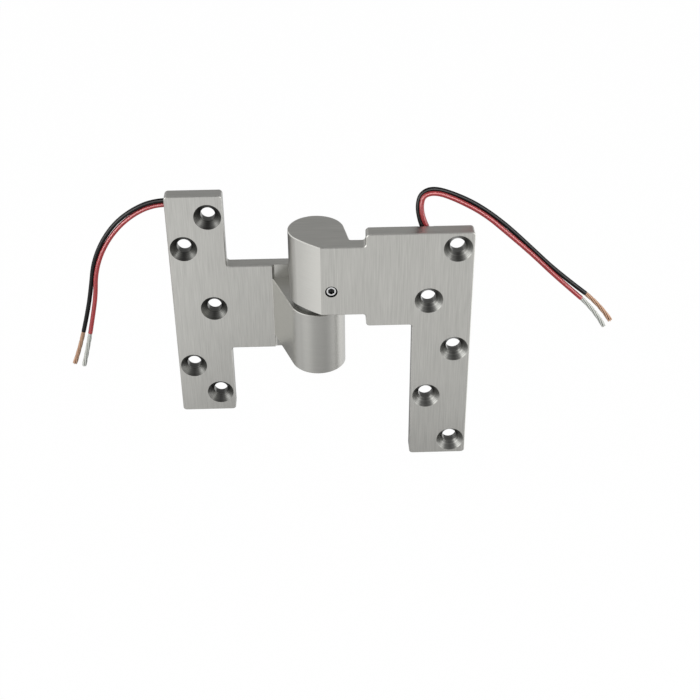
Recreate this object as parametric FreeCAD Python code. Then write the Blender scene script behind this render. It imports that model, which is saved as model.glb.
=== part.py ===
import FreeCAD, Part
import math
import os
from FreeCAD import Vector

# Intermediate pivot hinge for a door on offset pivots, with wires led through its hollow pin.
# It is opened flat: the frame leaf lies on the -X side, the door leaf on the +X side.
# The pivot axis is X = 0, Y = 0, and Z = 0 is half the height of the leaves. Sizes in mm.
# The viewer stands on the -Y side. The door closes by a half turn towards the viewer.
# Only the last lines move the whole hinge, so that it is held by its frame leaf's middle hole.

os.makedirs("parts", exist_ok=True)

# Leaves: two tall plates of one thickness, with the same width and height.
leaf_thickness = 6.35
plate_outer_x = 60.8
plate_width = 23.4
corner_radius = 1.5
root_radius = 1.3
edge_break = 0.3

# Offsets of the faces from the pivot axis, measured square to the closed leaves.
pivot_to_door_edge = 15.875
closed_gap = 3.175
door_face_x = 19.05

# Knuckles: barrels that flow into their leaf, by a flat on one side and a bulge on the other.
knuckle_radius = 11.1
frame_knuckle_height = 28.0
door_knuckle_height = 30.2
bearing_height = 3.2
bulge_radius = 60.0
nose_x = 1.5
door_flat_root_x = 12.9
frame_flat_root_x = 18.6
door_inner_fillet = 0.9

# Arms that carry the knuckles. They stand past the knuckles at the top and the bottom.
door_arm_margin = 5.35
frame_arm_margin = 6.15
relief_depth = 1.0

# Countersunk screw holes, five a leaf in a zigzag.
screw_head_diameter = 11.3
screw_hole_diameter = 6.0
countersink_angle = 82.0
column_inset = 6.35
door_hole_margin = 6.9
frame_hole_margin = 9.4
frame_hole_step = 14.4

# Pin, bush and thrust bearing.
pin_diameter = 9.525
pin_bore = 3.75
pin_head_height = 1.6
pin_head_clearance = 0.3
running_clearance = 0.04
seat_clearance = 0.02
end_play = 0.2
bush_wall = 1.55
plug_height = 2.4
bore_roof = 4.5
pin_chamfer = 0.5
washer_radius = 9.6
washer_play = 0.05

# Set screw that locks the pin in the door's knuckle.
set_screw_x = 5.5
set_screw_height = 10.7
set_screw_diameter = 4.6
set_screw_hole = 4.9
set_screw_recess = 0.45
set_screw_point = 3.6
set_screw_point_clearance = 0.1
set_screw_body = 9.4
set_screw_socket = 2.45
set_screw_socket_depth = 2.2
set_screw_chamfer = 0.45
set_screw_reach = 1.6

# Leads: two on each leaf, black and red, side by side.
lead_diameter = 1.85
lead_pitch = 1.9
lead_slack = 0.28
strand_diameter = 1.6
strand_length = 16.2
channel_floor_gap = 0.2
chamber_margin = 0.4
door_channel_slack = 1.8

# Wire channels in the leaves' backs: where they start, the radii of their bends, the lowered
# sill at the door's exit, and how far the sealing resin reaches.
frame_mouth_x = -14.0
door_mouth_x = 15.5
low_bend = 9.6
high_bend = 10.1
door_bend = 6.4
frame_exit_drop = 4.8
door_exit_inset = 4.85
sill = 0.8
sill_drop = 0.45
frame_seal_length = 24.0
door_seal_length = 19.5

# Sizes that follow from those above.
pivot_to_frame = pivot_to_door_edge + closed_gap
plate_inner_x = plate_outer_x - plate_width
frame_knuckle_top = frame_knuckle_height / 2
frame_knuckle_bottom = -frame_knuckle_top
door_knuckle_bottom = frame_knuckle_top + bearing_height
door_knuckle_top = door_knuckle_bottom + door_knuckle_height
leaf_top = door_knuckle_top + door_arm_margin
door_arm_bottom = door_knuckle_bottom - door_arm_margin
frame_arm_top = frame_knuckle_top + frame_arm_margin
door_front_y = -pivot_to_door_edge
door_back_y = door_front_y + leaf_thickness
frame_front_y = pivot_to_frame
frame_back_y = frame_front_y + leaf_thickness
outer_column_x = plate_outer_x - column_inset
inner_column_x = plate_inner_x + column_inset
column_middle_x = (outer_column_x + inner_column_x) / 2

bush_inner_radius = pin_diameter / 2 + running_clearance
bush_outer_radius = bush_inner_radius + bush_wall
channel_width = lead_pitch + lead_diameter + lead_slack
door_channel_width = channel_width + door_channel_slack
channel_depth = lead_diameter + 2 * channel_floor_gap
frame_wire_z = frame_knuckle_bottom + plug_height + chamber_margin + channel_width / 2
pin_head_bottom = frame_wire_z + channel_width / 2 + 2 * chamber_margin
pin_head_top = pin_head_bottom + pin_head_height
bush_bottom = pin_head_top + end_play
door_wire_z = door_knuckle_top - bore_roof - chamber_margin - channel_width / 2
pin_top = door_wire_z - channel_width / 2 - 2 * chamber_margin
washer_height = (bearing_height - washer_play) / 3
set_screw_z = door_knuckle_bottom + set_screw_height
frame_lead_y = frame_back_y - channel_depth / 2
door_lead_y = door_back_y - channel_depth / 2


def corner_arc(before, corner, after, radius):
    """Start, middle and end of the arc that rounds a corner with a given radius."""
    to_before = (before - corner).normalize()
    to_after = (after - corner).normalize()
    half_angle = to_before.getAngle(to_after) / 2
    inward = (to_before + to_after).normalize()
    centre = corner + inward * (radius / math.sin(half_angle))
    start = corner + to_before * (radius / math.tan(half_angle))
    end = corner + to_after * (radius / math.tan(half_angle))
    return start, centre - inward * radius, end


def leaf_plate(corners, front_y):
    """Plate whose front outline is a row of corners (x, z, radius), with broken edges."""
    points = [Vector(x, front_y, z) for x, z, radius in corners]
    edges = []
    last_end = None
    first_start = None
    for i, (x, z, radius) in enumerate(corners):
        before = points[i - 1]
        after = points[(i + 1) % len(points)]
        start, middle, end = corner_arc(before, points[i], after, radius)
        if last_end is None:
            first_start = start
        else:
            edges.append(Part.LineSegment(last_end, start).toShape())
        edges.append(Part.Arc(start, middle, end).toShape())
        last_end = end
    edges.append(Part.LineSegment(last_end, first_start).toShape())
    plate = Part.Face(Part.Wire(edges)).extrude(Vector(0, leaf_thickness, 0))
    return break_edges(plate, "y", [front_y, front_y + leaf_thickness])


def break_edges(solid, axis, levels):
    """Small chamfer on the edges that lie wholly at given levels along an axis."""
    chosen = []
    for edge in solid.Edges:
        box = edge.BoundBox
        low = box.YMin if axis == "y" else box.ZMin
        high = box.YMax if axis == "y" else box.ZMax
        if any(abs(low - level) < 0.001 and abs(high - level) < 0.001 for level in levels):
            chosen.append(edge)
    return solid.makeChamfer(edge_break, chosen)


def on_circle(angle):
    """Point on the knuckle's circle."""
    return Vector(knuckle_radius * math.cos(angle), knuckle_radius * math.sin(angle), 0)


def knuckle(face_y, inner_y, root_x, fillet, bottom, top):
    """Knuckle of the door leaf's kind: its leaf lies on +X, between face_y and inner_y (both < 0).

    From the nose at (nose_x, face_y) a slight bulge runs to the barrel and ends tangent to it.
    On the other side a flat runs tangent from the barrel down to the leaf at (root_x, inner_y).
    """
    end_x = root_x + 2.5
    nose = Vector(nose_x, face_y, 0)
    root = Vector(root_x, inner_y, 0)
    swing = bulge_radius - knuckle_radius
    lever = (2 * bulge_radius * knuckle_radius - knuckle_radius**2 - nose.Length**2) / (2 * swing)
    nose_angle = math.atan2(nose.y, nose.x)
    bulge_angle = nose_angle - math.acos(lever / nose.Length)
    bulge_end = on_circle(bulge_angle)
    bulge_centre = on_circle(bulge_angle).normalize() * -swing
    half_way = ((bulge_end + nose) * 0.5 - bulge_centre).normalize()
    flat_angle = math.atan2(root.y, root.x) + math.acos(knuckle_radius / root.Length)
    flat_end = on_circle(flat_angle)
    back = on_circle((bulge_angle + 2 * math.pi + flat_angle) / 2)
    leaf_end = Vector(end_x, inner_y, 0)
    face_end = Vector(end_x, face_y, 0)
    start, middle, end = corner_arc(flat_end, root, leaf_end, fillet)
    edges = [
        Part.LineSegment(face_end, nose).toShape(),
        Part.Arc(nose, bulge_centre + half_way * bulge_radius, bulge_end).toShape(),
        Part.Arc(bulge_end, back, flat_end).toShape(),
        Part.LineSegment(flat_end, start).toShape(),
        Part.Arc(start, middle, end).toShape(),
        Part.LineSegment(end, leaf_end).toShape(),
        Part.LineSegment(leaf_end, face_end).toShape(),
    ]
    solid = Part.Face(Part.Wire(edges)).extrude(Vector(0, 0, top - bottom))
    solid.translate(Vector(0, 0, bottom))
    return break_edges(solid, "z", [bottom, top])


def cylinder_z(radius, bottom, top):
    """Upright cylinder on the pivot axis."""
    return Part.makeCylinder(radius, top - bottom, Vector(0, 0, bottom))


def screw_cut(x, front_y, z):
    """Clearance hole with a countersink, entered from the front face."""
    head = screw_head_diameter / 2
    hole = screw_hole_diameter / 2
    depth = (head - hole) / math.tan(math.radians(countersink_angle / 2))
    cone = Part.makeCone(head, hole, depth, Vector(x, front_y, z), Vector(0, 1, 0))
    drill = Part.makeCylinder(hole, leaf_thickness, Vector(x, front_y, z), Vector(0, 1, 0))
    return cone.fuse(drill)


def channel_run(x_low, x_high, z_low, z_high, back_y):
    """Straight stretch of a wire channel, open at the leaf's back."""
    size = Vector(x_high - x_low, channel_depth + 1, z_high - z_low)
    return Part.makeBox(size.x, size.y, size.z, Vector(x_low, back_y - channel_depth, z_low))


def channel_bend(centre_x, centre_z, radius, width, side_x, side_z, back_y):
    """Quarter bend of a wire channel round a centre, on the side given by two signs."""
    base = Vector(centre_x, back_y - channel_depth, centre_z)
    depth = channel_depth + 1
    reach = radius + width / 2
    outer = Part.makeCylinder(reach, depth, base, Vector(0, 1, 0))
    inner = Part.makeCylinder(radius - width / 2, depth, base, Vector(0, 1, 0))
    corner = base + Vector(min(0, side_x) * reach, 0, min(0, side_z) * reach)
    quarter = Part.makeBox(reach, depth, reach, corner)
    return outer.cut(inner).common(quarter)


def wire_hole(end_x, end_y, z):
    """Hole drilled from the end of a channel into the knuckle's bore."""
    direction = Vector(end_x, end_y, 0)
    return Part.makeCylinder(channel_width / 2, direction.Length, Vector(0, 0, z), direction)


def lead(points, diameter):
    """Round tube along straight runs joined by tangent arcs. Prints the radii and the length."""
    points = [Vector(*p) for p in points]
    edges = []
    radii = []
    here = points[0]
    for i in range(1, len(points) - 1):
        back = points[i - 1] - points[i]
        ahead = points[i + 1] - points[i]
        half_turn = (math.pi - back.getAngle(ahead)) / 2
        radius = 0.45 * min(back.Length, ahead.Length) / math.tan(half_turn)
        start, middle, end = corner_arc(points[i - 1], points[i], points[i + 1], radius)
        edges.append(Part.LineSegment(here, start).toShape())
        edges.append(Part.Arc(start, middle, end).toShape())
        radii.append(round(radius, 1))
        here = end
    edges.append(Part.LineSegment(here, points[-1]).toShape())
    path = Part.Wire(edges)
    circle = Part.Circle(points[0], points[1] - points[0], diameter / 2)
    section = Part.Wire([circle.toShape()])
    tube = path.makePipeShell([section], True, False)
    plain = math.pi * diameter**2 / 4 * path.Length
    print("radii", radii, "length", round(path.Length, 1), "volume ratio", round(tube.Volume / plain, 4))
    return tube


def strand(points, diameter):
    """Bare end that goes on straight from the cut face of a lead."""
    last = Vector(*points[-1])
    direction = last - Vector(*points[-2])
    return Part.makeCylinder(diameter / 2, strand_length, last, direction)


# Frame leaf: the plate, its arm and the lower knuckle, which is the door's kind turned about.
frame_plate = leaf_plate(
    [
        (-plate_outer_x, leaf_top, corner_radius),
        (-plate_inner_x, leaf_top, corner_radius),
        (-plate_inner_x, frame_arm_top, root_radius),
        (-nose_x, frame_arm_top, corner_radius),
        (-nose_x, -frame_arm_top, corner_radius),
        (-plate_inner_x, -frame_arm_top, root_radius),
        (-plate_inner_x, -leaf_top, corner_radius),
        (-plate_outer_x, -leaf_top, corner_radius),
    ],
    frame_front_y,
)
relief_edge = Vector(-frame_flat_root_x, frame_front_y, 0)
relief_floor = Vector(-frame_flat_root_x + relief_depth, frame_front_y + relief_depth, 0)
relief_turn = math.sqrt(0.5) * relief_depth
relief_middle = relief_edge + Vector(relief_depth - relief_turn, relief_turn, 0)
relief_end = Vector(0, frame_front_y + relief_depth, 0)
relief_out = Vector(0, frame_front_y - relief_depth, 0)
relief_start = Vector(-frame_flat_root_x, frame_front_y - relief_depth, 0)
relief = Part.Face(
    Part.Wire(
        [
            Part.Arc(relief_edge, relief_middle, relief_floor).toShape(),
            Part.LineSegment(relief_floor, relief_end).toShape(),
            Part.LineSegment(relief_end, relief_out).toShape(),
            Part.LineSegment(relief_out, relief_start).toShape(),
            Part.LineSegment(relief_start, relief_edge).toShape(),
        ]
    )
).extrude(Vector(0, 0, 2 * frame_arm_top + 2))
relief.translate(Vector(0, 0, -frame_arm_top - 1))
frame_knuckle = knuckle(
    -frame_back_y, -frame_front_y, frame_flat_root_x, edge_break, frame_knuckle_bottom, frame_knuckle_top
)
frame_knuckle.rotate(Vector(0, 0, 0), Vector(0, 0, 1), 180)
frame_body = frame_plate.cut(relief).fuse(frame_knuckle).removeSplitter()

frame_hole_top = leaf_top - frame_hole_margin
frame_holes = [
    (-inner_column_x, frame_hole_top),
    (-outer_column_x, frame_hole_top - frame_hole_step),
    (-inner_column_x, 0),
    (-outer_column_x, frame_hole_step - frame_hole_top),
    (-inner_column_x, -frame_hole_top),
]
frame_body = frame_body.cut([screw_cut(x, frame_front_y, z) for x, z in frame_holes])

# The frame's channel: from the lower knuckle along the arm, up between the screw columns,
# and out at the plate's outer edge. The two leads turn round common centres.
half_pitch = lead_pitch / 2
half_channel = channel_width / 2
frame_mouth_y = frame_back_y - channel_depth / 2
frame_exit_z = leaf_top - frame_exit_drop
low_bend_x = -column_middle_x + low_bend
low_bend_z = frame_wire_z + low_bend
high_bend_x = -column_middle_x - high_bend
high_bend_z = frame_exit_z - high_bend
frame_channel = [
    channel_run(
        low_bend_x, frame_mouth_x,
        frame_wire_z - half_channel, frame_wire_z + half_channel, frame_back_y,
    ),
    channel_bend(low_bend_x, low_bend_z, low_bend, channel_width, -1, -1, frame_back_y),
    channel_run(
        -column_middle_x - half_channel, -column_middle_x + half_channel,
        low_bend_z, high_bend_z, frame_back_y,
    ),
    channel_bend(high_bend_x, high_bend_z, high_bend, channel_width, 1, 1, frame_back_y),
    channel_run(
        -plate_outer_x - 2, high_bend_x,
        frame_exit_z - half_channel, frame_exit_z + half_channel, frame_back_y,
    ),
]
frame_passage = [wire_hole(frame_mouth_x, frame_mouth_y, frame_wire_z)] + frame_channel
bush_seat = cylinder_z(bush_outer_radius, frame_knuckle_bottom, frame_knuckle_top)
frame_before_passage = frame_body.cut(bush_seat)
frame_leaf = frame_before_passage.cut(frame_passage)

# Door leaf: the plate with its arm and neck, and the upper knuckle with a blind bore.
neck_end_x = door_flat_root_x + 1.2
neck_end_radius = 2.5 * edge_break
door_plate = leaf_plate(
    [
        (plate_outer_x, leaf_top, corner_radius),
        (plate_outer_x, -leaf_top, corner_radius),
        (plate_inner_x, -leaf_top, corner_radius),
        (plate_inner_x, door_arm_bottom, root_radius),
        (door_face_x, door_arm_bottom, corner_radius),
        (door_face_x, door_knuckle_bottom, root_radius),
        (neck_end_x, door_knuckle_bottom, neck_end_radius),
        (neck_end_x, door_knuckle_top, neck_end_radius),
        (door_face_x, door_knuckle_top, root_radius),
        (door_face_x, leaf_top, corner_radius),
    ],
    door_front_y,
)
door_knuckle = knuckle(
    door_front_y, door_back_y, door_flat_root_x, door_inner_fillet, door_knuckle_bottom, door_knuckle_top
)
door_body = door_plate.fuse(door_knuckle).removeSplitter()

door_hole_top = leaf_top - door_hole_margin
door_hole_pitch = door_hole_top / 2
door_holes = []
for row in range(5):
    column_x = outer_column_x if row % 2 == 0 else inner_column_x
    door_holes.append((column_x, door_hole_top - row * door_hole_pitch))
door_body = door_body.cut([screw_cut(x, door_front_y, z) for x, z in door_holes])

# The door's channel: from the upper knuckle along the arm, then up. It ends at a lowered sill
# inside the top edge, where the leads lift out behind the leaf.
door_mouth_y = door_back_y - channel_depth / 2
door_exit_x = plate_inner_x + door_exit_inset
door_half_channel = door_channel_width / 2
door_bend_x = door_exit_x - door_bend
door_bend_z = door_wire_z + door_bend
door_channel = [
    channel_run(
        door_mouth_x, door_bend_x,
        door_wire_z - door_half_channel, door_wire_z + door_half_channel, door_back_y,
    ),
    channel_bend(door_bend_x, door_bend_z, door_bend, door_channel_width, 1, -1, door_back_y),
    channel_run(
        door_exit_x - door_half_channel, door_exit_x + door_half_channel,
        door_bend_z, leaf_top - sill, door_back_y,
    ),
]
door_sill = Part.makeBox(
    door_channel_width, sill_drop + 1, sill + 2,
    Vector(door_exit_x - door_half_channel, door_back_y - sill_drop, leaf_top - sill - 1),
)
door_passage = [wire_hole(door_mouth_x, door_mouth_y, door_wire_z)] + door_channel
blind_bore = cylinder_z(
    pin_diameter / 2 + seat_clearance, door_knuckle_bottom, door_knuckle_top - bore_roof
)
screw_seat_y = door_front_y + set_screw_recess + set_screw_body
screw_hole = Part.makeCylinder(
    set_screw_hole / 2,
    screw_seat_y - door_front_y,
    Vector(set_screw_x, door_front_y, set_screw_z),
    Vector(0, 1, 0),
)
point_radius = set_screw_point / 2
point_hole = Part.makeCylinder(
    point_radius + set_screw_point_clearance,
    -screw_seat_y + set_screw_reach,
    Vector(set_screw_x, screw_seat_y, set_screw_z),
    Vector(0, 1, 0),
)
door_before_passage = door_body.cut([blind_bore, screw_hole, point_hole, door_sill])
door_leaf = door_before_passage.cut(door_passage)

# Hollow pin with a head under the bush and a side notch for the set screw's point.
pin_radius = pin_diameter / 2
bore_radius = pin_bore / 2
pin_profile = [
    Vector(bore_radius, 0, pin_head_bottom),
    Vector(bush_outer_radius - pin_head_clearance, 0, pin_head_bottom),
    Vector(bush_outer_radius - pin_head_clearance, 0, pin_head_top),
    Vector(pin_radius, 0, pin_head_top),
    Vector(pin_radius, 0, pin_top - pin_chamfer),
    Vector(pin_radius - pin_chamfer, 0, pin_top),
    Vector(bore_radius, 0, pin_top),
]
pin_blank = Part.Face(Part.makePolygon(pin_profile + pin_profile[:1]))
pin_blank = pin_blank.revolve(Vector(0, 0, 0), Vector(0, 0, 1), 360)
notch = Part.makeCylinder(
    point_radius + set_screw_point_clearance,
    2 * pin_radius,
    Vector(set_screw_x, -pin_radius, set_screw_z),
    Vector(0, 1, 0),
)
pivot_pin = pin_blank.cut(notch)

# Set screw: hexagon socket, plain body with a broken rim, and a narrower point.
screw_start_y = door_front_y + set_screw_recess
set_screw_profile = [
    Vector(0, screw_start_y, 0),
    Vector(set_screw_diameter / 2 - set_screw_chamfer, screw_start_y, 0),
    Vector(set_screw_diameter / 2, screw_start_y + set_screw_chamfer, 0),
    Vector(set_screw_diameter / 2, screw_seat_y - set_screw_chamfer, 0),
    Vector(set_screw_diameter / 2 - set_screw_chamfer, screw_seat_y, 0),
    Vector(point_radius, screw_seat_y, 0),
    Vector(point_radius, set_screw_reach - set_screw_chamfer, 0),
    Vector(point_radius - set_screw_chamfer, set_screw_reach, 0),
    Vector(0, set_screw_reach, 0),
]
set_screw = Part.Face(Part.makePolygon(set_screw_profile + set_screw_profile[:1]))
set_screw = set_screw.revolve(Vector(0, 0, 0), Vector(0, 1, 0), 360)
socket_corner = set_screw_socket / math.sqrt(3)
socket_points = []
for corner in range(7):
    angle = math.radians(60 * corner + 30)
    socket_points.append(
        Vector(socket_corner * math.cos(angle), screw_start_y, socket_corner * math.sin(angle))
    )
socket_prism = Part.Face(Part.makePolygon(socket_points)).extrude(Vector(0, set_screw_socket_depth, 0))
set_screw = set_screw.cut(socket_prism)
set_screw.translate(Vector(set_screw_x, 0, set_screw_z))

# Bush, bottom plug and the three thrust washers between the knuckles.
lower_bush = cylinder_z(bush_outer_radius, bush_bottom, frame_knuckle_top).cut(
    cylinder_z(bush_inner_radius, bush_bottom, frame_knuckle_top)
)
plug_blank = cylinder_z(bush_outer_radius, frame_knuckle_bottom, frame_knuckle_bottom + plug_height)
bottom_plug = break_edges(plug_blank, "z", [frame_knuckle_bottom])


def thrust_washer(bottom):
    """Flat ring round the pin."""
    ring = cylinder_z(washer_radius, bottom, bottom + washer_height)
    return ring.cut(cylinder_z(bush_inner_radius, bottom, bottom + washer_height))


lower_washer = thrust_washer(frame_knuckle_top)
middle_washer = thrust_washer(door_knuckle_bottom - 2 * washer_height)
upper_washer = thrust_washer(door_knuckle_bottom - washer_height)


# Leads. Each starts inside a resin seal in its leaf's channel and ends in a bare strand.
def quarter_corners(centre_x, centre_z, radius, side_x, side_z):
    """Corners of a quarter bend made of two half turns: the level run's, then the upright run's."""
    reach = radius * math.tan(math.pi / 8)
    level = (centre_x + side_x * reach, centre_z + side_z * radius)
    upright = (centre_x + side_x * radius, centre_z + side_z * reach)
    return level, upright, 2 * reach


def frame_channel_route(low_radius, high_radius):
    """Route of a lead through the frame's channel, from inside the seal to the plate's edge."""
    level, upright, run = quarter_corners(low_bend_x, low_bend_z, low_radius, -1, -1)
    last_level, last_upright, last_run = quarter_corners(high_bend_x, high_bend_z, high_radius, 1, 1)
    flat_route = [(level[0] + run, level[1]), level, upright, last_upright, last_level]
    return [(x, frame_lead_y, z) for x, z in flat_route]


def door_channel_route(radius):
    """Route of a lead through the door's channel, from inside the seal to the upright run."""
    level, upright, run = quarter_corners(door_bend_x, door_bend_z, radius, 1, -1)
    flat_route = [(level[0] - run, level[1]), level, upright]
    return [(x, door_lead_y, z) for x, z in flat_route]


def beside_frame(x, z):
    """Point of a frame lead, measured outwards and down from the plate's top outer corner."""
    return (-plate_outer_x - x, frame_lead_y, leaf_top - z)


def behind_door(x, y, z):
    """Point of a door lead, measured from the channel's middle at the plate's top edge and back."""
    return (door_exit_x + x, door_back_y + y, leaf_top + z)


frame_black_route = frame_channel_route(low_bend - half_pitch, high_bend + half_pitch) + [
    (-plate_outer_x - 6.3, frame_lead_y, frame_exit_z + half_pitch),
    beside_frame(20.7, 11.95),
    beside_frame(31.4, 27.65),
    beside_frame(35.6, 47.85),
    beside_frame(40.4, 65.95),
]
frame_red_route = frame_channel_route(low_bend + half_pitch, high_bend - half_pitch) + [
    (-plate_outer_x - 6.1, frame_lead_y, frame_exit_z - half_pitch),
    beside_frame(18.7, 13.75),
    beside_frame(30.2, 30.45),
    beside_frame(33.7, 50.35),
    beside_frame(37.5, 66.95),
]
door_black_route = door_channel_route(door_bend - half_pitch) + [
    behind_door(-1.2, 1.35, -1.9),
    behind_door(-3.45, 3.3, 5.45),
    behind_door(-2.45, 4.25, 11.8),
    behind_door(2.65, 4.8, 14.05),
    behind_door(11.7, 5.1, 10.95),
    behind_door(23.75, 5.1, 3.9),
    behind_door(43.7, 5.1, -14.05),
    behind_door(65.75, 5.1, -35.0),
]
door_red_route = door_channel_route(door_bend + half_pitch) + [
    behind_door(1.2, 1.35, -2.15),
    behind_door(-1.45, 2.75, 5.1),
    behind_door(-0.95, 3.5, 10.2),
    behind_door(2.75, 4.1, 11.95),
    behind_door(10.45, 4.45, 9.4),
    behind_door(22.25, 4.75, 2.6),
    behind_door(41.0, 5.1, -15.65),
    behind_door(64.05, 5.1, -37.55),
]
for route in (frame_black_route, frame_red_route, door_black_route, door_red_route):
    print("route", [tuple(round(value, 3) for value in point) for point in route])
frame_lead_black = lead(frame_black_route, lead_diameter)
frame_lead_red = lead(frame_red_route, lead_diameter)
door_lead_black = lead(door_black_route, lead_diameter)
door_lead_red = lead(door_red_route, lead_diameter)

# Resin seals: they fill the drilled hole and the first part of the channel round the leads.
frame_seal_space = Part.makeBox(
    frame_seal_length - frame_mouth_x, frame_back_y, channel_width + 2,
    Vector(frame_mouth_x - frame_seal_length, 0, frame_wire_z - half_channel - 1),
)
door_seal_space = Part.makeBox(
    door_mouth_x + door_seal_length, -door_front_y, door_channel_width + 2,
    Vector(0, door_front_y, door_wire_z - door_half_channel - 1),
)
frame_passage_solid = frame_passage[0].fuse(frame_passage[1:])
door_passage_solid = door_passage[0].fuse(door_passage[1:])
frame_seal = frame_before_passage.common(frame_passage_solid).common(frame_seal_space)
door_seal = door_before_passage.common(door_passage_solid).common(door_seal_space)
frame_wire_seal = frame_seal.cut([frame_lead_black, frame_lead_red]).removeSplitter()
door_wire_seal = door_seal.cut([door_lead_black, door_lead_red]).removeSplitter()

nodes = {
    "frame_leaf": frame_leaf,
    "door_leaf": door_leaf,
    "pivot_pin": pivot_pin,
    "set_screw": set_screw,
    "lower_bush": lower_bush,
    "bottom_plug": bottom_plug,
    "lower_washer": lower_washer,
    "middle_washer": middle_washer,
    "upper_washer": upper_washer,
    "frame_wire_seal": frame_wire_seal,
    "door_wire_seal": door_wire_seal,
    "frame_lead_black": frame_lead_black,
    "frame_lead_red": frame_lead_red,
    "door_lead_black": door_lead_black,
    "door_lead_red": door_lead_red,
    "frame_copper_end": strand(frame_black_route, strand_diameter),
    "frame_tinned_end": strand(frame_red_route, strand_diameter),
    "door_copper_end": strand(door_black_route, strand_diameter),
    "door_tinned_end": strand(door_red_route, strand_diameter),
}

# The frame holds the hinge, so the origin moves to the middle hole of the frame leaf's line of
# three, at the leaf's back. The pivot axis is then at X = inner_column_x, Y = -frame_back_y.
held_at_frame = Vector(inner_column_x, -frame_back_y, 0)
for name, shape in nodes.items():
    shape.translate(held_at_frame)
    shape.exportStep("parts/" + name + ".step")
    print(name, "solids", len(shape.Solids), "valid", shape.isValid(), "volume", round(shape.Volume, 1))
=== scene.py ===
# %% [markdown]
# # A pivot hinge, opened flat
# A heavy door can turn on pivots that stand a little outside its face. This hinge sits half way
# up such a door and carries wires across, here through a hollow pin. The solid parts come in as
# finished meshes and are never reshaped here. This lesson gives them brushed steel, replaces the
# plain tubes of the leads with smooth curves, and adds light and a camera.

# %% Load the solid hinge
import math
from types import SimpleNamespace

import bmesh
import bpy
import numpy as np
from mathutils import Matrix, Vector


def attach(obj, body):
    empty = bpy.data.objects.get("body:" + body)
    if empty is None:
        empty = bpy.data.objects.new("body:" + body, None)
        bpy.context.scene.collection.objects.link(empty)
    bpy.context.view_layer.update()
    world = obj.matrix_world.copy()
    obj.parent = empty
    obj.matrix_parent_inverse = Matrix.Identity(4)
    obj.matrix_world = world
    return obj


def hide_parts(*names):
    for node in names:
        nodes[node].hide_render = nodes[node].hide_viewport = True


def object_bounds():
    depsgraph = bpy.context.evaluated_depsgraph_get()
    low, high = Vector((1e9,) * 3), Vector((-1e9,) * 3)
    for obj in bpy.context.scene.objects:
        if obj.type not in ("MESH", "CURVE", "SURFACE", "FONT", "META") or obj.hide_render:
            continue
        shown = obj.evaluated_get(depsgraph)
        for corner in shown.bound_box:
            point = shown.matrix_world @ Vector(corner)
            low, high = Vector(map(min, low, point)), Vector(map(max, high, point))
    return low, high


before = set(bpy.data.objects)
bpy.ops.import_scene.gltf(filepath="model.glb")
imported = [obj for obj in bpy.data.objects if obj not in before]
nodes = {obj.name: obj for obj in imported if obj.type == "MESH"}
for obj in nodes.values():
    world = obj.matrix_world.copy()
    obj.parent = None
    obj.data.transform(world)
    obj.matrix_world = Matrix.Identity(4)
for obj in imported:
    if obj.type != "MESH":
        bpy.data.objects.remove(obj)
cad_low, cad_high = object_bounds()
box_mm = [round(side * 1000, 1) for side in cad_high - cad_low]
print("solid hinge:", len(nodes), "pieces, box", box_mm, "mm")

# %% [markdown]
# ## Where things are
# The origin is the middle screw hole of the left leaf, at its back. The pivot axis runs straight
# up, a little to the right and in front of it. It is handy to give every place as an offset in
# millimetres from the pivot axis and turn it into metres once.

# %% The pivot axis
pivot = np.array([0.04375, -0.0254, 0.0])


def from_pivot(points):
    """Row-frame points in metres: pivot + millimetres / 1000, for a whole array at once."""
    return pivot + np.asarray(points, float) / 1000


print("pivot axis at x, y =", pivot[:2])

# %% [markdown]
# ## The camera
# A camera can be placed by eye, but here its place was worked out from edges measured in the
# picture. It stands in front and above, and looks down by about 34 degrees. Three simple turns, one
# after another, keep the angles easy to read. The fourth, a quarter turn, only points the camera
# forward, because a new one looks straight down.

# %% Place the camera
yaw, pitch, roll = (math.radians(angle) for angle in (-1.663, 33.745, 0.449))
turn = (
    Matrix.Rotation(yaw, 4, "Z")
    @ Matrix.Rotation(-pitch, 4, "X")
    @ Matrix.Rotation(roll, 4, "Y")
    @ Matrix.Rotation(math.pi / 2, 4, "X")
)
camera_data = bpy.data.cameras.new("front_camera")
camera_data.sensor_width = 36.0
camera_data.lens = 65.173
camera = bpy.data.objects.new("front_camera", camera_data)
camera.matrix_world = Matrix.Translation(from_pivot([0.327, -438.639, 283.121])) @ turn
bpy.context.scene.collection.objects.link(camera)
bpy.context.scene.camera = camera
print("camera at", [round(v, 3) for v in camera.matrix_world.translation])

# %% [markdown]
# ## The leads
# Each leaf has a black and a red lead. A lead is a thin, limp tube of soft plastic. It could be a
# swept mesh, but a NURBS curve with a round bevel bends more smoothly and stays easy to edit: its
# control points are the corners of the route, and the curve cuts each corner in a soft arc. The
# order is set after the points are added, because before that it would fall back to straight runs.
#
# A curve is as thick as its bevel depth times the radius of its points. The box that Blender keeps
# round a curve reaches out by the point radius alone, whatever the bevel is. So the bevel is 1 here
# and the points carry the real radius, and the box then fits the lead.

# %% A lead as a smooth curve
lead_radius = 0.00095
print("lead radius:", lead_radius * 1000, "mm")


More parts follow.
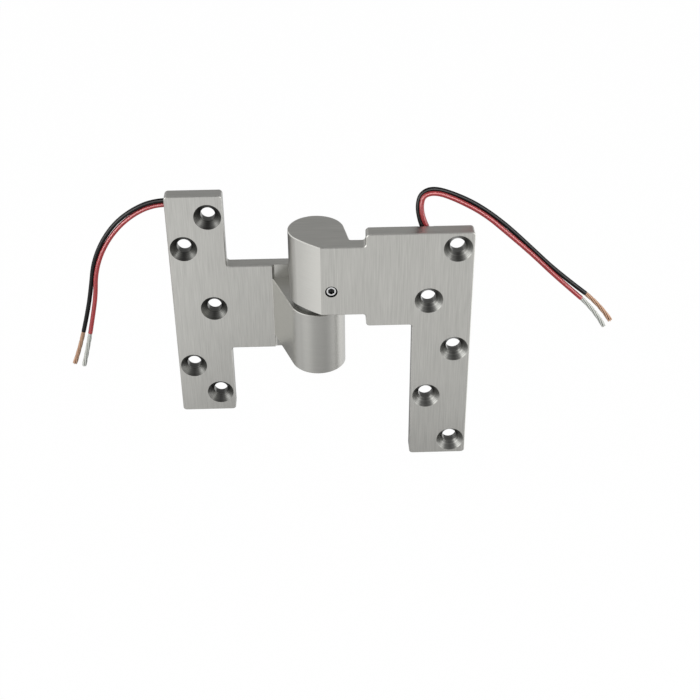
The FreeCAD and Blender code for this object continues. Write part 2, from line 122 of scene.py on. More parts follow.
def lead_curve(name, points, body, node):
    """Tube round a quadratic NURBS curve that is clamped to the first and last control point.

    For three control points a, b and c that follow one another, each inner span of the curve is
    p(t) = (1 - t) ** 2 / 2 * a + (1/2 + t - t ** 2) * b + t ** 2 / 2 * c, with t from 0 to 1.
    """
    data = bpy.data.curves.new(name, "CURVE")
    data.dimensions = "3D"
    spline = data.splines.new("NURBS")
    spline.points.add(len(points) - 1)
    corners = np.c_[from_pivot(points), np.ones(len(points))]
    spline.points.foreach_set("co", corners.ravel())
    spline.points.foreach_set("radius", np.full(len(points), lead_radius))
    spline.order_u = 3
    spline.use_endpoint_u = True
    spline.resolution_u = 16
    data.bevel_depth = 1.0
    data.bevel_resolution = 5
    data.use_fill_caps = True
    curve = bpy.data.objects.new(name, data)
    bpy.context.scene.collection.objects.link(curve)
    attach(curve, body)
    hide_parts(node)
    return curve


def centre_line(curve):
    """Points along a curve, read from a copy that has no bevel."""
    plain = curve.data.copy()
    plain.bevel_depth = 0.0
    holder = bpy.data.objects.new("line_only", plain)
    mesh = bpy.data.meshes.new_from_object(holder)
    line = np.zeros(len(mesh.vertices) * 3)
    mesh.vertices.foreach_get("co", line)
    bpy.data.objects.remove(holder)
    bpy.data.curves.remove(plain)
    bpy.data.meshes.remove(mesh)
    return line.reshape(-1, 3)


# %% [markdown]
# The left pair starts in the resin behind the arm, climbs in a channel between the screw holes
# and leaves the leaf at its upper corner, where it hangs down. The right pair comes out of its
# channel at the top, makes a small arch behind the leaf and falls away to the right.

# %% Routes of the four leads, in millimetres from the pivot axis
routes = {
    "frame_lead_black": [
        (-35.92, 24.275, -8.24), (-43.08, 24.275, -8.24), (-48.15, 24.275, -3.17),
        (-48.15, 24.275, 4.0), (-48.15, 24.275, 33.3), (-48.15, 24.275, 42.43),
        (-54.62, 24.275, 48.9), (-65.65, 24.275, 48.8), (-74.57, 24.275, 44.87),
        (-82.38, 24.275, 38.74), (-88.63, 24.275, 30.19), (-93.06, 24.275, 20.46),
        (-95.23, 24.275, 9.37), (-97.79, 24.275, -1.93), (-101.15, 24.275, -13.22),
    ],
    "frame_lead_red": [
        (-35.13, 24.275, -10.14), (-43.87, 24.275, -10.14), (-50.05, 24.275, -3.96),
        (-50.05, 24.275, 4.7), (-50.05, 24.275, 34.0), (-50.05, 24.275, 41.64),
        (-55.41, 24.275, 47.0), (-66.12, 24.275, 46.71), (-75.18, 24.275, 42.19),
        (-83.07, 24.275, 34.85), (-89.0, 23.84, 25.73), (-92.48, 23.25, 15.81),
        (-93.63, 23.09, 5.6), (-95.9, 23.52, -4.33), (-98.25, 23.53, -13.69),
    ],
    "door_lead_black": [
        (33.59, -10.65, 41.44), (38.11, -10.65, 41.44), (41.3, -10.65, 44.63),
        (41.75, -8.0, 49.5), (39.98, -6.7, 54.3), (39.22, -5.6, 59.35),
        (40.31, -4.8, 64.14), (45.0, -4.3, 66.18), (53.13, -4.1, 63.48),
        (62.96, -4.1, 58.36), (73.87, -4.2, 49.75), (84.57, -4.35, 39.16),
        (95.77, -4.425, 27.88), (108.01, -4.425, 17.73),
    ],
    "door_lead_red": [
        (32.81, -10.65, 39.54), (38.89, -10.65, 39.54), (43.2, -10.65, 43.84),
        (43.6, -8.4, 50.0), (41.03, -7.94, 55.75), (40.41, -7.15, 60.56),
        (41.5, -6.6, 64.41), (46.6, -6.0, 65.03), (54.82, -5.65, 61.39),
        (65.37, -5.74, 55.15), (74.9, -5.82, 46.49), (85.03, -6.14, 37.18),
        (95.26, -5.55, 26.42), (106.18, -5.55, 16.24),
    ],
}
lead_lines = {}
lead_curves = {}
for node, points in routes.items():
    body = node.split("_")[0] + "_side"
    lead_curves[node] = lead_curve(node.replace("lead", "wire"), points, body, node)
    lead_lines[node] = centre_line(lead_curves[node])
    steps = np.linalg.norm(np.diff(lead_lines[node], axis=0), axis=1)
    print(node, "length", round(steps.sum() * 1000, 1), "mm")

# %% [markdown]
# ## The bare ends
# At its end each lead is stripped. The bare part is a bundle of fine wires twisted together:
# plain copper on the black lead and tinned copper on the red one. One way is a single cylinder
# with a bumpy finish, but the edge of such a cylinder stays straight. Here every fine wire is a
# real tube that winds round the middle one, so the outline shows the twist. The bundle starts a
# little inside the insulation, so that no gap shows there.

# %% Twisted wires along the lead's last direction
strip_length = 0.0176
bundle_radius = 0.00092
hidden_length = 0.0012
closeness = 1.97
groove_out, crown_out = 1.7, 2.9


def twisted_wires(start, direction, bend, fray, outer_wires=6, turns=0.75, around=12, along=64):
    """One wire in the middle and six wound round it, as closed tubes with a value at each point.

    The bundle's middle is an arc: its direction turns down by an angle t = bend * s / length, so
    middle(s) = start + length / bend * (sin(t) * direction + (1 - cos(t)) * sag). A wire of radius
    w = bundle / 3 winds round it at lay(s) = closeness * w * (1 + fray * (s / length) ** 4), at the
    angle a = first angle + 2 pi * turns * s / length. At a closeness of 2 the wires would just
    touch. The skin round each wire's line closes in a round cap at both ends. The third result
    runs from 0 in the grooves between the wires to 1 on their outside.
    """
    wire = bundle_radius / 3
    length = strip_length + hidden_length
    across = np.array([0.0, 1.0, 0.0])
    sag = np.cross(direction, across)
    sag *= -np.sign(sag[2]) / np.linalg.norm(sag)
    s = np.linspace(0, length, along)
    t = (bend * s / length)[:, None]
    middle = start + length / bend * (np.sin(t) * direction + (1 - np.cos(t)) * sag)
    side = -np.sin(t) * direction + np.cos(t) * sag
    from_end = np.minimum(s, length - s)
    radius = np.sqrt(np.clip(from_end * (2 * wire - from_end), 0, wire**2))
    radius = np.where(from_end < wire, radius, wire)
    b = np.linspace(0, 2 * np.pi, around, endpoint=False)
    ring = np.cos(b)[:, None] * side[:, None] + np.sin(b)[:, None] * across
    numbers = np.arange(outer_wires + 1)
    a = 2 * np.pi * (numbers[:, None] / outer_wires + turns * s / length)
    lay = np.where(numbers[:, None] == 0, 0.0, closeness * wire * (1 + fray * (s / length) ** 4))
    winding = np.cos(a)[..., None] * side + np.sin(a)[..., None] * across
    centres = middle + lay[..., None] * winding
    skins = centres[:, :, None] + radius[:, None, None] * ring
    outward = np.linalg.norm(skins - middle[:, None], axis=-1)
    crown = np.clip((outward / wire - groove_out) / (crown_out - groove_out), 0, 1)
    points = skins.reshape(-1, 3)
    row = np.arange(len(numbers) * along * around).reshape(len(numbers), along, around)
    low, high = row[:, :-1], row[:, 1:]
    quads = np.stack([low, high, np.roll(high, -1, 2), np.roll(low, -1, 2)], -1)
    return points, quads.reshape(-1, 4), crown.ravel()


bundles = {}
for node, end, bend, fray in (
    ("frame_lead_black", "frame_copper_end", -0.1, 0.22),
    ("frame_lead_red", "frame_tinned_end", -0.05, 0.15),
    ("door_lead_black", "door_copper_end", 0.3, 0.3),
    ("door_lead_red", "door_tinned_end", 0.3, 0.1),
):
    tip = lead_lines[node][-1]
    direction = tip - lead_lines[node][-4]
    direction /= np.linalg.norm(direction)
    points, faces, crown = twisted_wires(tip - hidden_length * direction, direction, bend, fray)
    mesh = bpy.data.meshes.new(end + "_wires")
    mesh.from_pydata(points.tolist(), [], faces.tolist())
    mesh.attributes.new("crown", "FLOAT", "POINT").data.foreach_set("value", crown)
    mesh.polygons.foreach_set("use_smooth", [True] * len(mesh.polygons))
    welded = bmesh.new()
    welded.from_mesh(mesh)
    bmesh.ops.remove_doubles(welded, verts=welded.verts, dist=1e-7)
    bmesh.ops.recalc_face_normals(welded, faces=welded.faces)
    welded.to_mesh(mesh)
    welded.free()
    bundle = bpy.data.objects.new(end + "_wires", mesh)
    bpy.context.scene.collection.objects.link(bundle)
    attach(bundle, node.split("_")[0] + "_side")
    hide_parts(end)
    bundles[node] = bundle
    print(bundle.name, len(mesh.polygons), "faces")

# %% [markdown]
# ## The leads as cords
# The four leads are free cords.

print("cords:", len(lead_curves), "each", 2000 * lead_radius, "mm thick")

# %% [markdown]
# ## A small helper for materials
# Every finish below is a short chain of nodes that ends in one Principled shader. The helper hands
# back a small kit for a node tree: one function adds a node and joins its inputs, one does a sum,
# one blends two numbers, one maps one span of numbers to another, and two give a distance and a
# noise. With them a chain of nodes reads like a formula, for a material and for the world alike.

# %% Helpers for node chains


def node_kit(tree):
    """Functions that add nodes, sums, blends and spans to a node tree."""

    def add(kind, inputs=None, **settings):
        node = tree.nodes.new(kind)
        for key, value in settings.items():
            setattr(node, key, value)
        for key, value in (inputs or {}).items():
            if isinstance(value, bpy.types.NodeSocket):
                tree.links.new(value, node.inputs[key])
            else:
                node.inputs[key].default_value = value
        return node

    def number(operation, *values):
        return add("ShaderNodeMath", dict(enumerate(values)), operation=operation).outputs[0]

    def blend(factor, low, high):
        """low where the factor is 0, high where it is 1: low + factor * (high - low)."""
        inputs = {"Factor": factor, "A": low, "B": high}
        return add("ShaderNodeMix", inputs, data_type="FLOAT").outputs[0]

    def span(value, start, end, low, high):
        """low up to the start, high from the end on, and a straight run between them."""
        keys = ("Value", "From Min", "From Max", "To Min", "To Max")
        return add("ShaderNodeMapRange", dict(zip(keys, (value, start, end, low, high)))).outputs[0]

    def distance(across, up):
        """Square root of across * across + up * up."""
        squares = number("ADD", number("MULTIPLY", across, across), number("MULTIPLY", up, up))
        return number("SQRT", squares)

    def noise(place, scale, detail, roughness=0.5):
        """Soft random number between 0 and 1 at a place; a larger scale makes finer grain."""
        inputs = {"Vector": place, "Scale": scale, "Detail": detail, "Roughness": roughness}
        return add("ShaderNodeTexNoise", inputs).outputs["Fac"]

    join = tree.links.new
    return SimpleNamespace(
        add=add, number=number, blend=blend, span=span, distance=distance, noise=noise, join=join
    )


def new_finish(name):
    """Empty node material with its shader and a kit of functions for its tree."""
    material = bpy.data.materials.new(name)
    material.use_nodes = True
    kit = node_kit(material.node_tree)
    kit.material = material
    kit.shader = material.node_tree.nodes["Principled BSDF"]
    return kit


def two_tones(kit, value, dark, light, start=0.0, end=1.0):
    """Colour ramp from the dark tone at the start to the light one at the end."""
    ramp = kit.add("ShaderNodeValToRGB", {"Fac": value})
    for element, position, tone in zip(ramp.color_ramp.elements, (start, end), (dark, light)):
        element.position = position
        element.color = (*tone, 1)
    return ramp.outputs["Color"]


def paint(material, *names):
    """Give CAD pieces a finish in place of the plain one that they came in with."""
    for name in names:
        nodes[name].data.materials.clear()
        nodes[name].data.materials.append(material)


# %% [markdown]
# ## Brushed steel
# The leaves are stainless steel with a satin finish. A belt has left fine scratches that run up
# and down on the faces, lengthwise on the narrow top edges, and round the knuckles. An image of
# scratches would need unwrapping. Noise that is stretched very far in one direction gives the same
# look from the position alone, and the face's own direction chooses which way it is stretched.
#
# The screw holes have rings of their own, and painted shade: they are darker than the faces, with
# a darker bottom and lighter sides. A few sums on the position find them: each leaf has a line of
# three holes at one spacing and a pair beside it. The knuckles are brushed round and more faintly.

# %% Zones of the steel, in millimetres from the pivot axis
screw_x, screw_z = 5.5, 27.9
# The set screw's hole is in front only, where y is below this.
screw_side_y = -9.0
# These limits lie 0.05 to 0.15 mm outside the real holes and faces, to take in all of them.
countersink_limit = 5.75
screw_hole_limit = 2.6
lower_knuckle_limit = 14.05
upper_knuckle_limit = 17.1
relief_wall_limit = -18.65
print("set screw at x, z =", screw_x, screw_z, "mm")

# %% [markdown]
# The chain below first asks which face a point is on and which hole it is in. Each test is a
# number, 1 inside its zone and 0 outside, so the product of some tests is 1 where all of them hold.
# Then the chain mixes the tone, the roughness and the height of the scratches.

# %% Brushed steel for the leaves


def brushed_steel(name, tones, line, pair, hole_shade_tones, knuckle_reach, knuckle_shade):
    """Satin steel with stretched noise. Positions are in millimetres from the pivot axis.

    line is the x and the spacing of the three screw holes in line, and pair is the x and the height
    of the two beside them. Within knuckle_reach of the axis the knuckle's side is shaded:
    knuckle_shade gives two values of the normal's x and the factors of the tone there.
    """
    kit = new_finish(name)
    number, blend, span, distance = kit.number, kit.blend, kit.span, kit.distance
    place = kit.add("ShaderNodeTexCoord")
    centred = kit.add("ShaderNodeMapping", {"Vector": place.outputs["Object"], "Location": -pivot})
    metres_to_mm = {0: centred.outputs[0], 1: (1000, 1000, 1000)}
    spot = kit.add("ShaderNodeVectorMath", metres_to_mm, operation="MULTIPLY")
    spot = kit.add("ShaderNodeSeparateXYZ", {0: spot.outputs[0]})
    x, y, z = spot.outputs
    facing = kit.add("ShaderNodeSeparateXYZ", {0: place.outputs["Normal"]})
    level = number("ABSOLUTE", facing.outputs["Z"])
    ahead = number("ABSOLUTE", facing.outputs["Y"])

    def scratches(*scale):
        """Noise stretched by a scale for each axis: a small scale makes it long that way."""
        inputs = {0: centred.outputs[0], 1: scale}
        stretched = kit.add("ShaderNodeVectorMath", inputs, operation="MULTIPLY")
        return kit.noise(stretched.outputs[0], 1.0, 2.5, roughness=0.65)

    def all_of(first, *others):
        """1 where every one of the tests is 1, as their product."""
        for other in others:
            first = number("MULTIPLY", first, other)
        return first

    # Which face is this?
    on_top = number("GREATER_THAN", level, 0.8)
    slanting = number("LESS_THAN", ahead, 0.97)
    low_down = number("LESS_THAN", z, lower_knuckle_limit)
    high_up = all_of(number("GREATER_THAN", z, upper_knuckle_limit), slanting)
    knuckle_side = all_of(
        number("LESS_THAN", distance(x, y), knuckle_reach),
        number("MAXIMUM", low_down, high_up),
        number("GREATER_THAN", x, relief_wall_limit),
        number("LESS_THAN", level, 0.5),
    )
    faint = span(scratches(130, 130, 4200), 0.0, 1.0, 0.32, 0.68)
    grain = blend(knuckle_side, scratches(3600, 900, 75), faint)
    grain = blend(on_top, grain, scratches(60, 3000, 3000))

    # Which hole is it in: a screw hole, or the hole of the set screw?
    line_x, line_spacing = line
    pair_x, pair_height = pair
    off_line = number("WRAP", z, line_spacing / 2, -line_spacing / 2)
    off_pair = number("SUBTRACT", number("ABSOLUTE", z), pair_height)
    in_line = distance(number("SUBTRACT", x, line_x), off_line)
    in_pair = distance(number("SUBTRACT", x, pair_x), off_pair)
    from_hole = number("MINIMUM", in_line, in_pair)
    in_hole = all_of(number("LESS_THAN", from_hole, countersink_limit), slanting)
    from_screw = distance(number("SUBTRACT", x, screw_x), number("SUBTRACT", z, screw_z))
    in_screw_hole = all_of(
        number("LESS_THAN", from_screw, screw_hole_limit),
        slanting,
        number("LESS_THAN", y, screw_side_y),
    )
    ring_scale = 2.6
    outward = number("MULTIPLY", from_hole, ring_scale)
    inward = number("MULTIPLY", y, ring_scale)
    rings = kit.add("ShaderNodeCombineXYZ", {0: outward, 1: inward})
    rings = kit.noise(rings.outputs[0], 1.0, 3.0)

    tone = two_tones(kit, grain, *tones, 0.25, 0.75)
    # Painted shade: the screw holes take darker tones than the faces; the rings are from turning.
    cut = two_tones(kit, rings, *hole_shade_tones, 0.3, 0.7)
    colour = kit.add("ShaderNodeMix", {"Factor": in_hole, "A": tone, "B": cut}, data_type="RGBA")
    shade = blend(knuckle_side, 1.0, span(facing.outputs["X"], *knuckle_shade))
    # Painted shade: the walls of the set screw's hole in the leaf are made nearly black.
    shade = blend(in_screw_hole, shade, 0.12)
    # Painted shade and highlight: each countersink's bottom, which faces up, is darker, its sides
    # lighter.
    shade = blend(in_hole, shade, span(facing.outputs["Z"], 0.56, 0.7, 1.15, 0.5))
    inputs = {0: colour.outputs["Result"], "Scale": shade}
    shaded = kit.add("ShaderNodeVectorMath", inputs, operation="SCALE")
    kit.join(shaded.outputs[0], kit.shader.inputs["Base Color"])

    rough = span(grain, 0.0, 1.0, 0.26, 0.42)
    rough = number("MULTIPLY", rough, blend(on_top, 1.0, 1.25))
    kit.join(blend(in_hole, rough, 0.3), kit.shader.inputs["Roughness"])
    height = blend(in_hole, grain, number("MULTIPLY", rings, 0.5))
    bump = kit.add("ShaderNodeBump", {"Height": height, "Strength": 0.3, "Distance": 0.00002})
    kit.join(bump.outputs[0], kit.shader.inputs["Normal"])
    kit.shader.inputs["Metallic"].default_value = 1.0
    return kit.material


# %% [markdown]
# The two leaves need slightly different tones to match the picture, and the right one's screw
# holes are brighter, so each leaf gets its own steel. Part of that may be the studio's light rather
# than the steel. The shade on the knuckles is such a part, too: it stands in for reflections that
# the simple room below doesn't give, and it was set by comparing the render with the picture.

# %% Steel of the left and the right leaf
frame_steel = brushed_steel(
    "brushed steel of the frame leaf",
    tones=((0.385, 0.382, 0.362), (0.52, 0.516, 0.49)),
    line=(-43.75, 43.35),
    pair=(-54.45, 28.95),
    hole_shade_tones=((0.09, 0.09, 0.085), (0.2, 0.2, 0.19)),
    knuckle_reach=26.7,
    knuckle_shade=(-0.94, -0.62, 1.2, 0.72),
)
door_steel = brushed_steel(
    "brushed steel of the door leaf",
    tones=((0.405, 0.402, 0.38), (0.545, 0.54, 0.512)),
    line=(54.45, 45.85),
    pair=(43.75, 22.925),
    hole_shade_tones=((0.15, 0.15, 0.143), (0.28, 0.28, 0.265)),
    knuckle_reach=17.5,
    knuckle_shade=(-0.95, -0.84, 0.5, 1.0),
)
paint(frame_steel, "frame_leaf")
paint(door_steel, "door_leaf")
print("steel nodes:", len(frame_steel.node_tree.nodes))

# %% [markdown]
# ## Ground steel, bronze and resin
# The pin and the plug are ground, so they are smoother than the leaves. The thrust washers are
# hardened, and their dark tone is painted shade in the gap between the knuckles. The bush is
# bronze.
# The set screw is bright, and its socket and rim are painted dark as painted shade. No texture is
# needed for that: the distance from its axis tells the socket, the end face and the rim apart.
# The resin that seals the wires into their channels is cast, so it is dark and glossy with a soft
# unevenness.

# %% Finishes of the small parts
# Measures of the set screw in metres: its socket, its rim, and how far in front of the pivot axis
# its end face and the socket's bottom lie.
socket_radius = 0.00143
rim_radius = 0.00187
end_face_ahead = 0.0154
socket_bottom_ahead = 0.0134


def turned_metal(name, dark, light, low, high, stretch=(150, 150, 4000)):
    """Metal with fine turning lines: noise that is long across the axis and short along it.

    The tone runs from dark to light and the roughness from low to high with the same noise.
    """
    kit = new_finish(name)
    place = kit.add("ShaderNodeTexCoord")
    inputs = {0: place.outputs["Object"], 1: stretch}
    lines = kit.add("ShaderNodeVectorMath", inputs, operation="MULTIPLY")
    noise = kit.noise(lines.outputs[0], 1.0, 3.0)
    kit.join(two_tones(kit, noise, dark, light), kit.shader.inputs["Base Color"])
    kit.join(kit.span(noise, 0.0, 1.0, low, high), kit.shader.inputs["Roughness"])
    kit.shader.inputs["Metallic"].default_value = 1.0
    return kit.material


def socket_screw():
    """Bright end face, socket and rim in painted shade, found by the distance from the axis.

    The socket's walls are made nearly black as painted shade, and its bottom a little lighter, as
    in the picture.
    """
    kit = new_finish("socket screw")
    number, blend = kit.number, kit.blend
    place = kit.add("ShaderNodeTexCoord")
    spot = kit.add("ShaderNodeSeparateXYZ", {0: place.outputs["Object"]})
    across = number("SUBTRACT", spot.outputs["X"], pivot[0] + screw_x / 1000)
    up = number("SUBTRACT", spot.outputs["Z"], screw_z / 1000)
    out = kit.distance(across, up)
    behind_face = number("GREATER_THAN", spot.outputs["Y"], pivot[1] - end_face_ahead)
    in_socket = number("MULTIPLY", number("LESS_THAN", out, socket_radius), behind_face)
    on_rim = number("GREATER_THAN", out, rim_radius)
    at_bottom = number("GREATER_THAN", spot.outputs["Y"], pivot[1] - socket_bottom_ahead)
    noise = kit.noise(place.outputs["Object"], 2600.0, 2.0)
    tone = kit.span(noise, 0.0, 1.0, 0.5, 0.74)
    # Painted shade: the socket's walls nearly black, its bottom a little lighter, and the rim dark.
    tone = blend(in_socket, tone, blend(at_bottom, 0.02, 0.22))
    tone = blend(on_rim, tone, 0.06)
    grey = kit.add("ShaderNodeCombineColor", {0: tone, 1: tone, 2: tone})
    kit.join(grey.outputs[0], kit.shader.inputs["Base Color"])
    kit.join(kit.span(noise, 0.0, 1.0, 0.16, 0.28), kit.shader.inputs["Roughness"])
    kit.shader.inputs["Metallic"].default_value = 1.0
    return kit.material


ground = turned_metal("ground steel", (0.5, 0.5, 0.48), (0.75, 0.75, 0.72), 0.14, 0.24)
# The washers' dark tone is painted shade in the gap between the knuckles.
gap_shade = turned_metal("hardened steel", (0.05, 0.05, 0.048), (0.14, 0.14, 0.13), 0.2, 0.3)
bronze = turned_metal("turned bronze", (0.42, 0.27, 0.14), (0.66, 0.46, 0.27), 0.25, 0.4)
paint(ground, "pivot_pin", "bottom_plug")
paint(socket_screw(), "set_screw")
paint(gap_shade, "lower_washer", "middle_washer", "upper_washer")
paint(bronze, "lower_bush")

resin = new_finish("cast sealing resin")
place = resin.add("ShaderNodeTexCoord")
swell = resin.noise(place.outputs["Object"], 420.0, 3.0)
tone = two_tones(resin, swell, (0.012, 0.012, 0.014), (0.035, 0.034, 0.036))
resin.join(tone, resin.shader.inputs["Base Color"])
bump = resin.add("ShaderNodeBump", {"Height": swell, "Strength": 0.5, "Distance": 0.0001})
resin.join(bump.outputs[0], resin.shader.inputs["Normal"])
resin.shader.inputs["Roughness"].default_value = 0.25
paint(resin.material, "frame_wire_seal", "door_wire_seal")
print("finishes so far:", len(bpy.data.materials))

# %% [markdown]
# ## Plastic and bare wire
# The insulation is soft and glossy, with hardly any texture. A faint waviness breaks up the long
# highlight. The bare wires are metals, with painted shade in the grooves between them. The mesh
# carries how far out each point lies, and the finish reads that number.

# %% Finishes of the leads


def insulation(name, dark, light, gloss):
    """Glossy plastic whose tone and surface wander a little along the lead."""
    kit = new_finish(name)
    place = kit.add("ShaderNodeTexCoord")
    wander = kit.noise(place.outputs["Object"], 200.0, 1.0)
    kit.join(two_tones(kit, wander, dark, light), kit.shader.inputs["Base Color"])
    bump = kit.add("ShaderNodeBump", {"Height": wander, "Strength": 0.05, "Distance": 0.00006})
    kit.join(bump.outputs[0], kit.shader.inputs["Normal"])
    kit.join(kit.span(wander, 0.0, 1.0, 0.27, 0.35), kit.shader.inputs["Roughness"])
    kit.shader.inputs["Specular IOR Level"].default_value = gloss
    return kit.material


def bare_wire(name, groove, crown):
    """Drawn metal wire: painted shade in the grooves, bright on the crowns, with a fine unevenness.
    """
    kit = new_finish(name)
    place = kit.add("ShaderNodeTexCoord")
    outward = kit.add("ShaderNodeAttribute", attribute_name="crown")
    noise = kit.noise(place.outputs["Object"], 1500.0, 2.0)
    uneven = kit.number("SUBTRACT", noise, 0.5)
    # Painted shade in the grooves, and a random unevenness on top of it.
    shade_and_unevenness = kit.number("MULTIPLY_ADD", uneven, 0.5, outward.outputs["Fac"])
    kit.join(two_tones(kit, shade_and_unevenness, groove, crown, 0.1, 0.9), kit.shader.inputs["Base Color"])
    kit.join(kit.span(noise, 0.0, 1.0, 0.2, 0.34), kit.shader.inputs["Roughness"])
    kit.shader.inputs["Metallic"].default_value = 1.0
    return kit.material


black_dark, black_light = (0.002, 0.0017, 0.0017), (0.005, 0.0043, 0.0043)
black_plastic = insulation("black insulation", black_dark, black_light, 0.15)
red_plastic = insulation("red insulation", (0.33, 0.02, 0.024), (0.42, 0.03, 0.034), 0.5)
copper = bare_wire("bare copper", (0.1, 0.045, 0.025), (0.5, 0.32, 0.22))
tinned = bare_wire("tinned copper", (0.12, 0.125, 0.115), (0.56, 0.575, 0.54))
for node, curve in lead_curves.items():
    black = node.endswith("black")
    curve.data.materials.append(black_plastic if black else red_plastic)
    bundles[node].data.materials.append(copper if black else tinned)
print("finishes:", len(bpy.data.materials))

# %% [markdown]
# ## Floor
# The picture is a studio shot on plain white. The floor is a wide white plane below the hinge. The
# camera sees it as simply white. To all other light it is a matt surface, so it still takes the
# hinge's shadow.

# %% White floor
floor_size = 6.0
floor_level = -0.16
floor_lines = 9
floor_mesh = bpy.data.meshes.new("floor")
across = np.linspace(-floor_size, floor_size, floor_lines)
gx, gy = np.meshgrid(across, across, indexing="ij")
floor_points = np.stack([gx, gy, np.full_like(gx, floor_level)], -1).reshape(-1, 3)
index = np.arange(floor_lines**2).reshape(floor_lines, floor_lines)
corners = [index[:-1, :-1], index[1:, :-1], index[1:, 1:], index[:-1, 1:]]
floor_faces = np.stack(corners, -1).reshape(-1, 4)
floor_mesh.from_pydata(floor_points.tolist(), [], floor_faces.tolist())
floor = bpy.data.objects.new("floor", floor_mesh)
bpy.context.scene.collection.objects.link(floor)

white = new_finish("white floor")
number, blend, span = white.number, white.blend, white.span
white.shader.inputs["Base Color"].default_value = (0.8, 0.8, 0.8, 1)
white.shader.inputs["Roughness"].default_value = 0.9
print("floor at", floor_level, "m")

# %% [markdown]
# Brushed steel shows hardly any colour of its own. What one sees on it is the studio round it: its
# bright cards and the darker gaps between them. An upright face seen from above mirrors the floor,
# so cards would have to lie there. Here the floor itself is brighter or darker in reflections, and
# a colour ramp gives its strength by the direction from the hinge.
#
# The real studio isn't known. The strengths were worked out by comparing the render with the
# picture: from points on the knuckles the mirrored line of sight was followed down to the floor,
# and the strength there was raised or lowered until the two were about equally bright.

# %% Glow of the floor in reflections, by direction from the hinge
brightest = 2.5
# Degrees from straight in front, positive to the right, and the strength there. 1 is white.
strength_toward = {
    -180: 0.5, -150: 0.2, -131: 0.2, -121: 0.38, -110: 0.62, -99: 0.88, -90: 1.02, -79: 1.26,
    -57: 1.5, -46: 1.58, -35: 1.42, -24: 1.2, -14: 1.06, 8: 0.99, 19: 0.98, 30: 0.84, 41: 0.98,
    52: 1.09, 63: 1.37, 74: 1.72, 85: 1.9, 94: 1.75, 106: 2.1, 129: 1.45, 151: 1.2, 180: 0.5,
}
place = white.add("ShaderNodeTexCoord")
spot = white.add("ShaderNodeSeparateXYZ", {0: place.outputs["Object"]})
side = number("SUBTRACT", spot.outputs["X"], pivot[0])
ahead = number("SUBTRACT", pivot[1], spot.outputs["Y"])
bearing = span(number("ARCTAN2", side, ahead), -math.pi, math.pi, 0.0, 1.0)
cards = white.add("ShaderNodeValToRGB", {"Fac": bearing})
while len(cards.color_ramp.elements) < len(strength_toward):
    cards.color_ramp.elements.new(0.5)
for element, (degrees, strength) in zip(cards.color_ramp.elements, strength_toward.items()):
    element.position = degrees / 360 + 0.5
    element.color = (strength / brightest, strength / brightest, strength / brightest, 1)
far = white.distance(side, ahead)
# Painted shadow: within about 0.2 m of the hinge the floor's glow in reflections is weaker.
shadow_near_hinge = number("MINIMUM", span(far, 0.15, 0.21, 0.45, 1.19), span(far, 0.19, 0.24, 0.88, 1.0))
mirrored = number("MULTIPLY", cards.outputs["Color"], number("MULTIPLY", shadow_near_hinge, brightest))
print("directions with a strength of their own:", len(strength_toward))

# %% [markdown]
# One material can look different to different rays. The Light Path node tells what kind of ray has
# arrived: one from the camera, one that was mirrored, or another. The first two see a glow, and all
# others see the matt surface.

# %% Floor: white to the camera, uneven in reflections, matt to the rest
camera_strength = 1.02
glow_share = 0.95
seen = white.add("ShaderNodeLightPath")
direct = number("MAXIMUM", seen.outputs["Is Camera Ray"], seen.outputs["Is Transmission Ray"])
shown = number("MAXIMUM", direct, seen.outputs["Is Glossy Ray"])
level = blend(seen.outputs["Is Glossy Ray"], camera_strength, mirrored)
glow = white.add("ShaderNodeEmission", {"Color": (1, 1, 1, 1), "Strength": level})
share = number("MULTIPLY", shown, glow_share)
both = white.add("ShaderNodeMixShader", {0: share, 1: white.shader.outputs[0], 2: glow.outputs[0]})
surface = white.material.node_tree.nodes["Material Output"].inputs["Surface"]
white.join(both.outputs[0], surface)
floor_mesh.materials.append(white.material)
print("floor finish:", white.material.name)

# %% [markdown]
# ## World
# The world is the room round the floor. The camera sees it as white, and it fills the shadows
# softly. In a reflection it is bright in front and on the left, grey toward the back and dark
# overhead. That, too, was set by comparing the render with the picture.

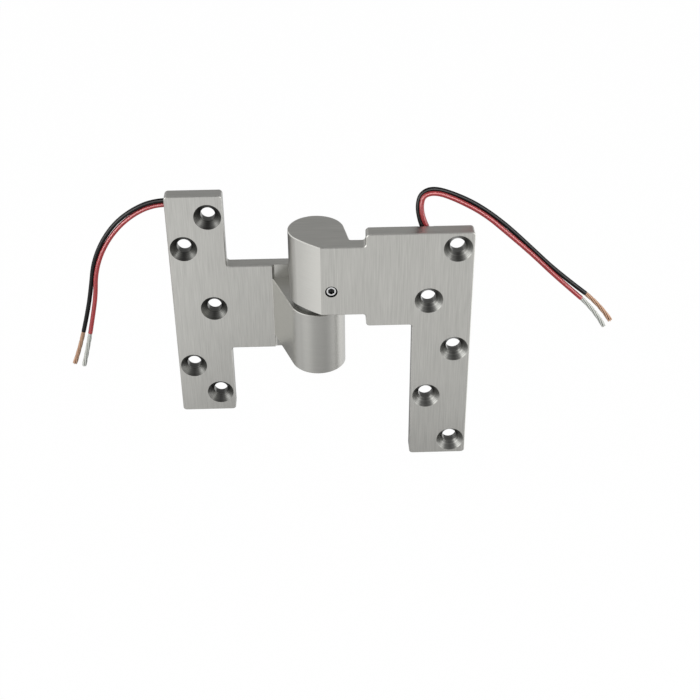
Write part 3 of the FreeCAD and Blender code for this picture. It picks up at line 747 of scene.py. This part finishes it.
# %% White room
world = bpy.data.worlds.new("studio")
bpy.context.scene.world = world
world.use_nodes = True
room = node_kit(world.node_tree)
fill_light = 0.6
overhead = 0.12
left_card = 1.5
rays = room.add("ShaderNodeLightPath").outputs
view_line = room.add("ShaderNodeTexCoord").outputs["Generated"]
toward = room.add("ShaderNodeSeparateXYZ", {0: view_line}).outputs
mirrored = room.span(toward["Y"], -0.35, 0.4, 1.1, 0.5)
mirrored = room.blend(room.span(toward["Z"], 0.82, 0.9, 0.0, 1.0), mirrored, overhead)
mirrored = room.blend(room.span(toward["X"], -0.65, -0.5, 1.0, 0.0), mirrored, left_card)
plain = room.number("MAXIMUM", rays["Is Camera Ray"], rays["Is Transmission Ray"])
plain = room.span(plain, 0.0, 1.0, fill_light, 1.0)
level = room.blend(rays["Is Glossy Ray"], plain, mirrored)
background = world.node_tree.nodes["Background"]
background.inputs["Color"].default_value = (1, 1, 1, 1)
room.join(level, background.inputs["Strength"])
print("fill light:", fill_light)

# %% [markdown]
# ## Lamps
# Two large, weak lamps add a little light from the sides. A lead is a thin tube and mirrors a lamp
# only where the tube's direction suits it, so five more lamps stand in an arc in front, for the
# different directions that the leads run in. No real studio could do what these five do: they light
# the leads alone, by light linking, and add gloss without making the plastic paler.

# %% Soft lights


def soft_light(name, place, aim, size, power):
    """Square lamp at a place, turned so that it faces a point. The camera doesn't see it."""
    data = bpy.data.lights.new(name, "AREA")
    data.shape = "SQUARE"
    data.size = size
    data.energy = power
    light = bpy.data.objects.new(name, data)
    light.location = place
    light.rotation_euler = (Vector(aim) - light.location).to_track_quat("-Z", "Y").to_euler()
    light.visible_camera = False
    bpy.context.scene.collection.objects.link(light)
    return light


middle = (0.04, -0.03, 0.0)
soft_light("left_light", (-1.0, -0.55, 0.35), middle, 0.8, 3.0)
soft_light("right_light", (1.05, -0.6, 0.35), middle, 0.8, 2.6)

lit = bpy.data.collections.new("leads")
for curve in lead_curves.values():
    lit.objects.link(curve)
lead_light_places = (
    (-0.75, -0.62, 0.0), (-0.5, -0.8, 0.3), (0.0, -0.8, 0.6), (0.4, -0.7, 0.55), (0.78, -0.6, 0.25),
)
for count, place in enumerate(lead_light_places):
    lamp = soft_light("lead_light_%d" % count, place, middle, 0.7, 9.0)
    lamp.visible_diffuse = False
    lamp.light_linking.receiver_collection = lit
print("lamps:", len(bpy.data.lights))

# %% [markdown]
# ## Last step
# Colours are shown as they are written.

# %% Colour view
bpy.context.scene.view_settings.view_transform = "Standard"
bpy.context.view_layer.update()
